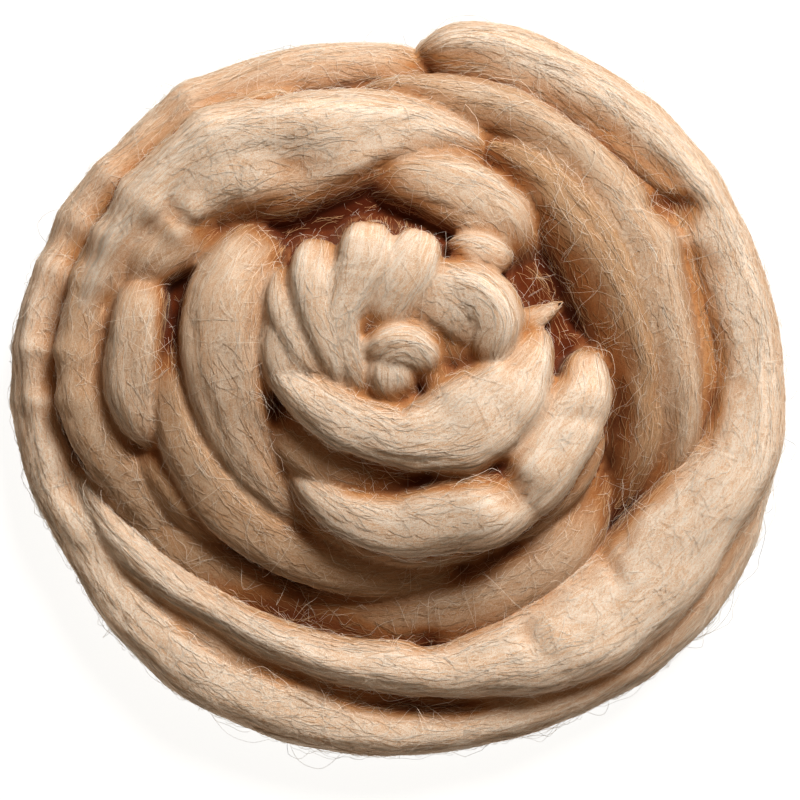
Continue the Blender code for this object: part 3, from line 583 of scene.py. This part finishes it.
def edgeCell(points):
    bearing = np.degrees(np.arctan2(points[..., 0], points[..., 1])) % 360.0
    column = (bearing / (360.0 / relief["edgeBearings"])).astype(int) % relief["edgeBearings"]
    level = (points[..., 2] / relief["edgeLevel"]).astype(int)
    return column, np.clip(level, 0, relief["edgeLevels"] - 1)


def topCell(points):
    cells = ((points[..., :2] + relief["reach"]) / relief["cell"]).astype(int)
    return cells[..., 0], cells[..., 1]


def showing(maps, points):
    # true for what lies near the top of its cell, or near the edge at its bearing and height
    fromAbove = points[..., 2] > maps["top"][topCell(points)] - relief["topReach"]
    radius = np.hypot(points[..., 0], points[..., 1])
    fromSide = radius > maps["edge"][edgeCell(points)] - relief["sideReach"]
    return (fromAbove | fromSide) & (points[..., 2] > relief["foot"])


def readMap(grid, points):
    # bilinear reading of a map at the points' east and north
    at = (points[..., :2] + relief["reach"]) / relief["cell"] - 0.5
    cell = np.floor(at).astype(int)
    share = at - cell
    i, j = cell[..., 0], cell[..., 1]
    return cornerBlend(grid, i, j, j + 1, share[..., 0], share[..., 1])


def paintedHollowShadeLevel(maps, points):
    # painted shade for the base colour: nought on the crowns, one in the closed and the buried
    # places that light hardly reaches, and little at the foot's edge, which light reaches from the side
    closed = relief["openSky"] - readMap(maps["sky"], points)
    closed = closed / (relief["openSky"] - relief["closedSky"])
    under = (readMap(maps["top"], points) - points[..., 2] - relief["topReach"]) / relief["buried"]
    within = maps["edge"][edgeCell(points)] - np.hypot(points[..., 0], points[..., 1])
    low = np.clip((relief["rimHeight"] - points[..., 2]) / relief["rimFade"], 0.0, 1.0)
    rim = np.clip(1.0 - within / relief["rim"], 0.0, 1.0) * low
    both = np.clip(np.clip(closed, 0.0, 1.0) + np.clip(under, 0.0, 1.0), 0.0, 1.0)
    return both * (1.0 - relief["rimShare"] * rim)


wool = {
    "pale": (0.93, 0.85, 0.755),
    "mid": (0.88, 0.71, 0.56),
    "deep": (0.76, 0.53, 0.35),
    # painted shade: colours for creases, for hollows and for turns in shade
    "paintedCreaseShade": (0.67, 0.43, 0.24),
    "paintedHollowShade": (0.24, 0.07, 0.02),
    "paintedTurnShadeColour": (0.66, 0.54, 0.42),
    # noises: cells a metre along the strand and round it, slant in degrees, detail, swirl
    "combed": [(380.0, 2300.0, 13.0, 5.0, 0.6), (440.0, 2700.0, -11.0, 5.0, 0.6)],
    "locks": (38.0, 430.0, 4.0, 3.0, 0.3),
    "lockShare": 0.22,
    "felted": (2000.0, 2000.0, 0.0, 2.0, 2.0),
    "feltedShare": 0.52,
    "grainRoughness": 0.75,
    "grainHeight": 0.0005,
    "grainRange": (0.45, 0.56),
    "paintedShadeStops": (0.08, 0.5, 0.95),
}
# Settings of all wool's Principled nodes
woolSurface = {
    "Roughness": 0.85,
    "Specular IOR Level": 0.2,
    "Sheen Weight": 0.2,
    "Sheen Roughness": 0.5,
    "Sheen Tint": (1.0, 0.88, 0.72, 1.0),
}


def plug(node, values):
    # fills the node's sockets; a value that is itself a socket is linked
    for socket, value in values.items():
        if isinstance(value, bpy.types.NodeSocket):
            node.id_data.links.new(value, node.inputs[socket])
        else:
            node.inputs[socket].default_value = value
    return node


def newMaterial(name, colour, values):
    material = bpy.data.materials.new(name)
    material.use_nodes = True
    shader = material.node_tree.nodes["Principled BSDF"]
    plug(shader, {"Base Color": (*colour, 1.0), **values})
    return material, shader


def carried(tree, name):
    # the node that reads what the mesh carries under this name
    node = tree.nodes.new("ShaderNodeAttribute")
    node.attribute_name = name
    return node


def stretchedNoise(tree, place, along, around, slant, detail, swirl):
    # noise drawn out along the strand
    mapping = tree.nodes.new("ShaderNodeMapping")
    mapping.vector_type = "TEXTURE"
    scale = (1.0 / along, 1.0 / around, 1.0 / around)
    plug(mapping, {"Vector": place, "Scale": scale, "Rotation": (0.0, 0.0, math.radians(slant))})
    values = {
        "Vector": mapping.outputs["Vector"],
        "Scale": 1.0,
        "Detail": detail,
        "Roughness": wool["grainRoughness"],
        "Distortion": swirl,
    }
    return plug(tree.nodes.new("ShaderNodeTexNoise"), values).outputs["Fac"]


def mixed(tree, share, one, two, dataType="FLOAT", blendType="MIX"):
    node = tree.nodes.new("ShaderNodeMix")
    node.data_type = dataType
    node.blend_type = blendType
    return plug(node, {"Factor": share, "A": one, "B": two}).outputs["Result"]


def multiplied(tree, one, two):
    return mixed(tree, 1.0, one, two, "RGBA", "MULTIPLY")


def colourRamp(tree, level, stops):
    # stops: position and colour
    ramp = plug(tree.nodes.new("ShaderNodeValToRGB"), {"Fac": level})
    elements = ramp.color_ramp.elements
    elements[0].position = stops[0][0]
    elements[1].position = stops[-1][0]
    for position, _ in stops[1:-1]:
        elements.new(position)
    for element, (_, colour) in zip(elements, stops):
        element.color = (*colour, 1.0)
    return ramp.outputs["Color"]


def combedWool():
    # the grain is the greater of two noises drawn out along the strand, a little crosswise to
    # each other, mixed with a fine felted one and with broad locks; it gives tone and relief.
    # Painted shade: hollows and creases take a deeper, warmer colour that stands in for their
    # shade and for light bounced many times in wool, and each turn's colour is darkened by its
    # own painted shade
    material, shader = newMaterial("combedWool", wool["mid"], woolSurface)
    tree = material.node_tree
    place = carried(tree, "place").outputs["Vector"]
    spot = tree.nodes.new("ShaderNodeTexCoord").outputs["Object"]
    greater = tree.nodes.new("ShaderNodeMath")
    greater.operation = "MAXIMUM"
    for socket, noise in enumerate(wool["combed"]):
        plug(greater, {socket: stretchedNoise(tree, place, *noise)})
    combed = greater.outputs["Value"]
    grain = mixed(tree, wool["feltedShare"], combed, stretchedNoise(tree, spot, *wool["felted"]))
    level = mixed(tree, wool["lockShare"], grain, stretchedNoise(tree, place, *wool["locks"]))
    tone = colourRamp(tree, level, list(zip(wool["grainRange"], (wool["deep"], wool["pale"]))))

    white = (1.0, 1.0, 1.0)
    hollowShadeStops = zip(wool["paintedShadeStops"], (white, wool["paintedCreaseShade"], wool["paintedHollowShade"]))
    paintedHollowShadeTint = colourRamp(tree, carried(tree, "paintedHollowShade").outputs["Fac"], list(hollowShadeStops))
    # painted shade of the turn, carried in the third part of place
    paintedTurnShadeLevel = plug(tree.nodes.new("ShaderNodeSeparateXYZ"), {"Vector": place}).outputs["Z"]
    paintedTurnShade = colourRamp(tree, paintedTurnShadeLevel, [(0.0, white), (1.0, wool["paintedTurnShadeColour"])])
    colour = multiplied(tree, multiplied(tree, tone, paintedHollowShadeTint), paintedTurnShade)
    bump = plug(tree.nodes.new("ShaderNodeBump"), {"Distance": wool["grainHeight"], "Height": level})
    plug(shader, {"Base Color": colour, "Normal": bump.outputs["Normal"]})
    return material


def addObject(name, data):
    added = bpy.data.objects.new(name, data)
    bpy.context.scene.collection.objects.link(added)
    return added


def meshPiece(name, verts, loops, totals, material, shading):
    mesh = plainMesh(name, verts, loops, totals)
    mesh.normals_split_custom_set_from_vertices(shading.astype(np.float32))
    mesh.materials.append(material)
    piece = addObject(name, mesh)
    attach(piece, "root")
    return piece


def strandMesh(surface, shift, paintedTurnShade):
    # quads between neighbouring rings, and a fan to one point at each end; place holds the
    # metres along the strand and round it, both moved by shift, and the strand's painted shade
    points = surface["points"]
    rings, around = points.shape[:2]
    ends = np.stack([points[0].mean(axis=0), points[-1].mean(axis=0)])
    verts = np.vstack([points.reshape(-1, 3), ends])
    i, j = np.meshgrid(np.arange(rings - 1), np.arange(around), indexing="ij")
    k = (j + 1) % around
    corners = [i * around + k, (i + 1) * around + k, (i + 1) * around + j, i * around + j]
    quads = np.stack(corners, axis=-1).reshape(-1, 4)
    one = np.arange(around)
    two = (one + 1) % around
    first = rings * around
    low = np.stack([np.full(around, first), two, one], axis=-1)
    high = np.stack([np.full(around, first + 1), first - around + one, first - around + two], axis=-1)
    loops = np.concatenate([quads.ravel(), low.ravel(), high.ravel()])
    totals = np.concatenate([np.full(len(quads), 4), np.full(2 * around, 3)])
    u, v = np.meshgrid(surface["run"], one / around * surface["girth"], indexing="ij")
    place = np.stack([u.ravel(), v.ravel()], axis=-1)
    place = np.vstack([place, [[0.0, 0.0], [surface["run"][-1], 0.0]]])
    place = np.hstack([place + shift, np.full((len(verts), 1), paintedTurnShade)])
    return {"verts": verts, "loops": loops, "totals": totals, "place": place}


def plainMesh(name, verts, loops, totals):
    mesh = bpy.data.meshes.new(name)
    mesh.vertices.add(len(verts))
    mesh.vertices.foreach_set("co", verts.astype(np.float32).ravel())
    mesh.loops.add(len(loops))
    mesh.loops.foreach_set("vertex_index", loops.astype(np.int32))
    mesh.polygons.add(len(totals))
    starts = np.concatenate([[0], np.cumsum(totals)[:-1]])
    mesh.polygons.foreach_set("loop_start", starts.astype(np.int32))
    mesh.polygons.foreach_set("loop_total", totals.astype(np.int32))
    mesh.shade_smooth()
    mesh.update(calc_edges=True)
    return mesh


def carryPlace(source):
    # nodes that give each point of a skin the place of the nearest spot on the strands
    tree = bpy.data.node_groups.new("carryPlace", "GeometryNodeTree")
    for way in ("INPUT", "OUTPUT"):
        tree.interface.new_socket("Geometry", in_out=way, socket_type="NodeSocketGeometry")
    skin = tree.nodes.new("NodeGroupInput").outputs["Geometry"]
    strands = plug(tree.nodes.new("GeometryNodeObjectInfo"), {"Object": source}).outputs["Geometry"]
    place = tree.nodes.new("GeometryNodeInputNamedAttribute")
    nearest = tree.nodes.new("GeometryNodeSampleNearestSurface")
    store = tree.nodes.new("GeometryNodeStoreNamedAttribute")
    for node in (place, nearest, store):
        node.data_type = "FLOAT_VECTOR"
    store.domain = "POINT"
    plug(place, {"Name": "place"})
    plug(nearest, {"Mesh": strands, "Value": place.outputs["Attribute"]})
    plug(store, {"Name": "place", "Geometry": skin, "Value": nearest.outputs["Value"]})
    plug(tree.nodes.new("NodeGroupOutput"), {"Geometry": store.outputs["Geometry"]})
    return tree


felt = {
    "voxel": 0.00118,
    "softening": 0.5,
    "softenRounds": 2,
    "shift": 3.0,  # metres by which the noises of two strands may be apart
}


def feltedPiece(name, names, material):
    # the strands are melted into one skin, as wool clings where it touches, the skin is
    # smoothed, and each of its points takes the place of the nearest strand
    shifts = np.random.default_rng(len(names)).uniform(0.0, felt["shift"], (len(names), 2))
    parts = []
    for one, shift in zip(names, shifts):
        parts.append(strandMesh(surfaces[one], shift, paintedTurnShades.get(one, 0.0)))
    first = np.cumsum([0] + [len(part["verts"]) for part in parts])
    verts = np.vstack([part["verts"] for part in parts])
    loops = np.concatenate([part["loops"] + first[index] for index, part in enumerate(parts)])
    totals = np.concatenate([part["totals"] for part in parts])
    laid = addObject(name + "Laid", plainMesh(name + "Laid", verts, loops, totals))
    place = laid.data.attributes.new("place", "FLOAT_VECTOR", "POINT")
    places = np.vstack([part["place"] for part in parts])
    place.data.foreach_set("vector", places.astype(np.float32).ravel())

    piece = addObject(name, laid.data.copy())
    melt = piece.modifiers.new("melt", "REMESH")
    melt.mode = "VOXEL"
    melt.voxel_size = felt["voxel"]
    soften = piece.modifiers.new("soften", "SMOOTH")
    soften.factor = felt["softening"]
    soften.iterations = felt["softenRounds"]
    piece.modifiers.new("carry", "NODES").node_group = carryPlace(laid)
    bpy.context.view_layer.update()
    seen = piece.evaluated_get(bpy.context.evaluated_depsgraph_get())
    mesh = bpy.data.meshes.new_from_object(seen)
    piece.modifiers.clear()
    piece.data = mesh
    bpy.data.objects.remove(laid)

    mesh.name = name
    points = np.zeros(len(mesh.vertices) * 3)
    mesh.vertices.foreach_get("co", points)
    points = points.reshape(-1, 3)
    points[:, 2] = np.maximum(points[:, 2], strand["tableTop"])
    mesh.vertices.foreach_set("co", points.ravel())
    mesh.shade_smooth()
    # painted shade: the base colour darkens where a point lies closed in or under the top
    depth = mesh.attributes.new("paintedHollowShade", "FLOAT", "POINT")
    depth.data.foreach_set("value", paintedHollowShadeLevel(maps, points).astype(np.float32))
    mesh.materials.clear()
    mesh.materials.append(material)
    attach(piece, "root")
    return piece


outerTurns = ["outerRing", "ringBeside", "looseEndTurn", "rimFold"]
surfaces = {}
woolFinish = combedWool()
rng = np.random.default_rng(11)
for name, turn in turns.items():
    fullness = turn.get("fullness", strand["fullness"])
    surfaces[name] = strandSurface(rng, tableRows(turn["rows"]), turn.get("lean", 0.0), fullness)
for name, spiral in underTurns.items():
    surfaces[name] = strandSurface(rng, spiralRows(*spiral), 0.0, 1.0, underDetail)
dense = [densePoints(surface["points"], relief["denser"]) for surface in surfaces.values()]
maps = mapRelief(np.vstack(dense))
surfaces["core"] = innerCore(maps)
pieces = [
    feltedPiece("outerTurns", [name for name in surfaces if name in outerTurns], woolFinish),
    feltedPiece("innerTurns", [name for name in surfaces if name not in outerTurns], woolFinish),
]
for piece in pieces:
    print("felted", piece.name, "faces", len(piece.data.polygons))


fibres = {
    "count": 15000,
    "stations": 7,  # points along a fibre
    "lengths": (0.005, 0.014),
    "thickness": (0.0001, 0.00018),
    "heading": 0.24,  # radians off the strand's own way
    "bend": 0.28,  # share of the length
    "crimp": 0.00024,
    "crimpLength": 0.004,
    "lift": 0.00013,
    "arch": 0.0,
}
strays = {
    "count": 900,
    "stations": 13,
    "lengths": (0.012, 0.030),
    "thickness": (0.00008, 0.00012),
    "heading": 0.8,
    "bend": 1.0,
    "crimp": 0.0009,
    "crimpLength": 0.009,
    "lift": 0.0003,
    "arch": 0.0022,
}
fuzz = {
    "count": 8000,
    "stations": 5,
    "lengths": (0.0025, 0.006),
    "thickness": (0.00007, 0.00011),
    "heading": 0.9,
    "bend": 0.9,
    "crimp": 0.0003,
    "crimpLength": 0.004,
    "lift": 0.0003,
    "arch": 0.0006,
}
# Each piece of fibres has its colour and takes the fibres up to its depth, which is painted
# shade from hollows and from the turn, plus random tone: the deeper, the darker
fibreTonesByShade = {
    "fibresPale": ("pale", 0.12),
    "fibresMid": ("mid", 0.35),
    "fibresDeep": ("deep", 0.75),
    "fibresHollow": ("paintedCreaseShade", math.inf),
}


fibreShape = {
    "leastCrimp": 0.3,
    "crimpRise": 0.5,  # share of the crimp that leaves the surface
    "tipSink": 0.0003,
    "tipPower": 8,
    "clear": 0.0001,  # of the table
    "fewest": 4,  # on a surface, or none
}
# Fibres on a crown: the share that is darker at random, and how much depth that, the turn's
# painted shade and chance add to the painted hollow shade
darkFibres = {
    "share": 0.22,
    "depth": 0.35,
    "paintedTurnShadeDepth": 0.35,
    "spread": 0.09,
}


def fibreLines(rng, surface, normals, weights, count, kind):
    # a fibre starts in a cell picked by its weight, heads a little off the strand's way, bends
    # as t^2 - t, crimps as a sine, arches off the surface by arch * sin(pi t), and sinks its
    # tips back into the wool
    points = surface["points"]
    rows, columns = points.shape[:2]
    cells = rng.choice(rows * columns, size=count, p=weights.ravel() / weights.sum())
    row = cells // columns + rng.uniform(-0.5, 0.5, count)
    column = cells % columns + rng.uniform(-0.5, 0.5, count)
    length = rng.uniform(*kind["lengths"], count)[:, None]
    heading = rng.normal(0.0, kind["heading"], count)[:, None]
    bend = rng.normal(0.0, kind["bend"], count)[:, None]
    t = np.linspace(0.0, 1.0, kind["stations"])
    wave = 2.0 * math.pi * (t * length / kind["crimpLength"] + rng.uniform(size=(count, 1)))
    crimp = kind["crimp"] * rng.uniform(fibreShape["leastCrimp"], 1.0, (count, 1)) * np.sin(wave)
    onward = (t - 0.5) * length * np.cos(heading)
    sideways = (t - 0.5) * length * np.sin(heading) + bend * length * (t * t - t) + crimp
    rowsAt = row[:, None] + onward / surface["run"][1]
    columnsAt = column[:, None] + sideways * columns / surface["girth"]
    place = readGrid(points, rowsAt, columnsAt)
    out = unit(readGrid(normals, rowsAt, columnsAt))
    arch = np.abs(rng.normal(0.0, kind["arch"], (count, 1))) * np.sin(math.pi * t)
    level = np.abs(rng.normal(0.0, kind["lift"], (count, 1))) + arch
    rises = fibreShape["crimpRise"] * kind["crimp"] * np.cos(wave)
    level = level + rises * rng.uniform(0.0, 1.0, (count, 1))
    level = level - fibreShape["tipSink"] * (2.0 * t - 1.0) ** fibreShape["tipPower"]
    return place + out * level[..., None], out


def fibrePiece(name, lines, out, radius, material):
    # three-sided tubes round the inner stations, drawn to a point at both ends
    ahead = unit(np.gradient(lines, axis=1))
    side = unit(np.cross(ahead, out))
    rise = np.cross(side, ahead)
    count, stations = lines.shape[:2]
    rings = stations - 2
    # one corner faces out, the others lie a third of a round to either side
    turn = (np.array([0.5, 7.0 / 6.0, 11.0 / 6.0]) * math.pi)[:, None]
    ring = side[:, 1:-1, None] * np.cos(turn) + rise[:, 1:-1, None] * np.sin(turn)
    body = lines[:, 1:-1, None] + ring * radius[:, None, None, None]
    verts = np.concatenate([lines[:, :1], body.reshape(count, -1, 3), lines[:, -1:]], axis=1)
    perFibre = 2 + rings * 3
    pattern = []
    for k in range(3):
        m = (k + 1) % 3
        pattern.append((0, 1 + k, 1 + m))
        for a in range(1, 3 * rings - 2, 3):
            pattern += [(a + k, a + 3 + m, a + m), (a + k, a + 3 + k, a + 3 + m)]
        pattern.append((perFibre - 1, perFibre - 4 + m, perFibre - 4 + k))
    faces = np.array(pattern)[None, :, :] + (np.arange(count) * perFibre)[:, None, None]
    verts = verts.reshape(-1, 3)
    verts[:, 2] = np.maximum(verts[:, 2], strand["tableTop"] + fibreShape["clear"])
    # a fibre takes the light as the wool under it does, since light goes through it
    shading = np.concatenate([out[:, :1], np.repeat(out[:, 1:-1], 3, axis=1), out[:, -1:]], axis=1)
    totals = np.full(count * len(pattern), 3)
    return meshPiece(name, verts, faces.ravel(), totals, material, shading.reshape(-1, 3))


def layFibres(rng, kind):
    # shares the fibres out by the area of each surface that shows; gives their lines, the
    # ways out of the wool and the painted shade of their turns
    weights = {name: showing(maps, surface["points"]) * 1.0 for name, surface in surfaces.items()}
    areas = {}
    for name, surface in surfaces.items():
        cellArea = surface["run"][1] * surface["girth"] / surface["points"].shape[1]
        areas[name] = weights[name].sum() * cellArea
    whole = sum(areas.values())
    print("area that shows, cm2:", round(whole * 1e4, 1))
    laid = []
    for name, area in areas.items():
        count = int(kind["count"] * area / whole)
        if count > fibreShape["fewest"]:
            normals = surfaceNormals(surfaces[name]["points"])
            lines, outs = fibreLines(rng, surfaces[name], normals, weights[name], count, kind)
            laid.append((lines, outs, np.full(count, paintedTurnShades.get(name, 0.0))))
    return [np.concatenate(column) for column in zip(*laid)]


rng = np.random.default_rng(23)
lines, outs, paintedTurnShadeOfFibre = layFibres(rng, fibres)
# painted shade: fibres in hollows and on turns in shade take darker colours
depth = paintedHollowShadeLevel(maps, lines[:, fibres["stations"] // 2])
depth = depth + rng.normal(0.0, darkFibres["spread"], len(lines))
darker = rng.uniform(size=len(lines)) < darkFibres["share"]
depth += darkFibres["depth"] * darker + darkFibres["paintedTurnShadeDepth"] * paintedTurnShadeOfFibre
finishes = {}
above = -math.inf
for name, (colour, upTo) in fibreTonesByShade.items():
    picked = (depth >= above) & (depth < upTo)
    above = upTo
    radius = 0.5 * rng.uniform(*fibres["thickness"], picked.sum())
    finishes[name], _ = newMaterial(name, wool[colour], woolSurface)
    pieces.append(fibrePiece(name, lines[picked], outs[picked], radius, finishes[name]))
    print(name, picked.sum())
for name, kind in (("strayFibres", strays), ("fuzz", fuzz)):
    lines, outs, _ = layFibres(rng, kind)
    radius = 0.5 * rng.uniform(*kind["thickness"], len(lines))
    pieces.append(fibrePiece(name, lines, outs, radius, finishes["fibresPale"]))
print("triangles in all:", sum(len(p.data.loops) - 2 * len(p.data.polygons) for p in pieces))

for piece in pieces:
    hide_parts("wound_roving")

studio = {
    "cameraHeight": 2.0,
    "scaleHeight": 0.012,  # height at which a pixel has its stated size
    "pixelsAcross": 800,
    "pixelSize": 0.3125 * mm,
    "nestPixel": (399, 391),  # where the tables' middle stands in the render
    "floorRadius": 5.0,
    "floorSides": 48,
    "wallHeight": 0.25,  # the pale wall far behind, all round
    "floorDrop": 0.0002,
    "floorColour": (0.16, 0.16, 0.16),
    "keyBearing": 28.0,
    "keyElevation": 45.0,
    "keyStrength": 3.7,
    "keyAngle": 22.0,
    "keyColour": (1.0, 0.98, 0.95),
    "skyColour": (1.0, 0.70, 0.43),
    "skyStrength": 0.22,
    "gamma": 0.8,
    "sensorWidth": 36.0,
    "clipEnd": 20.0,
}
floorSurface = {
    "Roughness": 0.9,
    "Emission Color": (1.0, 1.0, 0.99, 1.0),
    "Emission Strength": 0.93,
}


def pointLamp(lamp, bearing, elevation):
    # turns the lamp so that its light comes from this bearing and elevation
    b = math.radians(bearing)
    e = math.radians(elevation)
    lamp.rotation_euler = (math.radians(90.0) - e, 0.0, math.pi - b)
    lamp.location = (math.sin(b) * math.cos(e), math.cos(b) * math.cos(e), math.sin(e))


def floorCorners(height):
    # a ring of corners: radius times the cosine and the sine of each way
    ways = np.linspace(0.0, 2.0 * math.pi, studio["floorSides"] + 1)[:-1]
    reach = studio["floorRadius"]
    return np.stack([reach * np.cos(ways), reach * np.sin(ways), np.full(len(ways), height)], axis=-1)


sides = studio["floorSides"]
wall = [((k + 1) % sides, k, sides + k, sides + (k + 1) % sides) for k in range(sides)]
floorMesh = bpy.data.meshes.new("floor")
corners = np.vstack([floorCorners(0.0), floorCorners(studio["wallHeight"])])
floorMesh.from_pydata(corners.tolist(), [], [tuple(range(sides)), *wall])
floorMesh.materials.append(newMaterial("paleFloor", studio["floorColour"], floorSurface)[0])
floor = addObject("floor", floorMesh)
floor.location.z = -studio["floorDrop"]

keyLight = bpy.data.lights.new("key", "SUN")
keyLight.energy = studio["keyStrength"]
keyLight.angle = math.radians(studio["keyAngle"])
keyLight.color = studio["keyColour"]
pointLamp(addObject("key", keyLight), studio["keyBearing"], studio["keyElevation"])

world = bpy.data.worlds.new("studio")
world.use_nodes = True
sky = world.node_tree.nodes["Background"]
sky.inputs["Color"].default_value = (*studio["skyColour"], 1.0)
sky.inputs["Strength"].default_value = studio["skyStrength"]
scene = bpy.context.scene
scene.world = world

camera = bpy.data.cameras.new("camera")
camera.sensor_width = studio["sensorWidth"]
frameWidth = studio["pixelsAcross"] * studio["pixelSize"]
# the sensor's width times the distance, over the width to be taken in
camera.lens = camera.sensor_width * (studio["cameraHeight"] - studio["scaleHeight"]) / frameWidth
camera.clip_end = studio["clipEnd"]
cameraObject = addObject("camera", camera)
middlePixel = 0.5 * studio["pixelsAcross"]
east = (middlePixel - studio["nestPixel"][0]) * studio["pixelSize"] - nestMiddle[0] * mm
north = (studio["nestPixel"][1] - middlePixel) * studio["pixelSize"] - nestMiddle[1] * mm
cameraObject.location = (east, north, studio["cameraHeight"])
scene.camera = cameraObject
scene.view_settings.view_transform = "Standard"
scene.view_settings.gamma = studio["gamma"]
print("studio set")
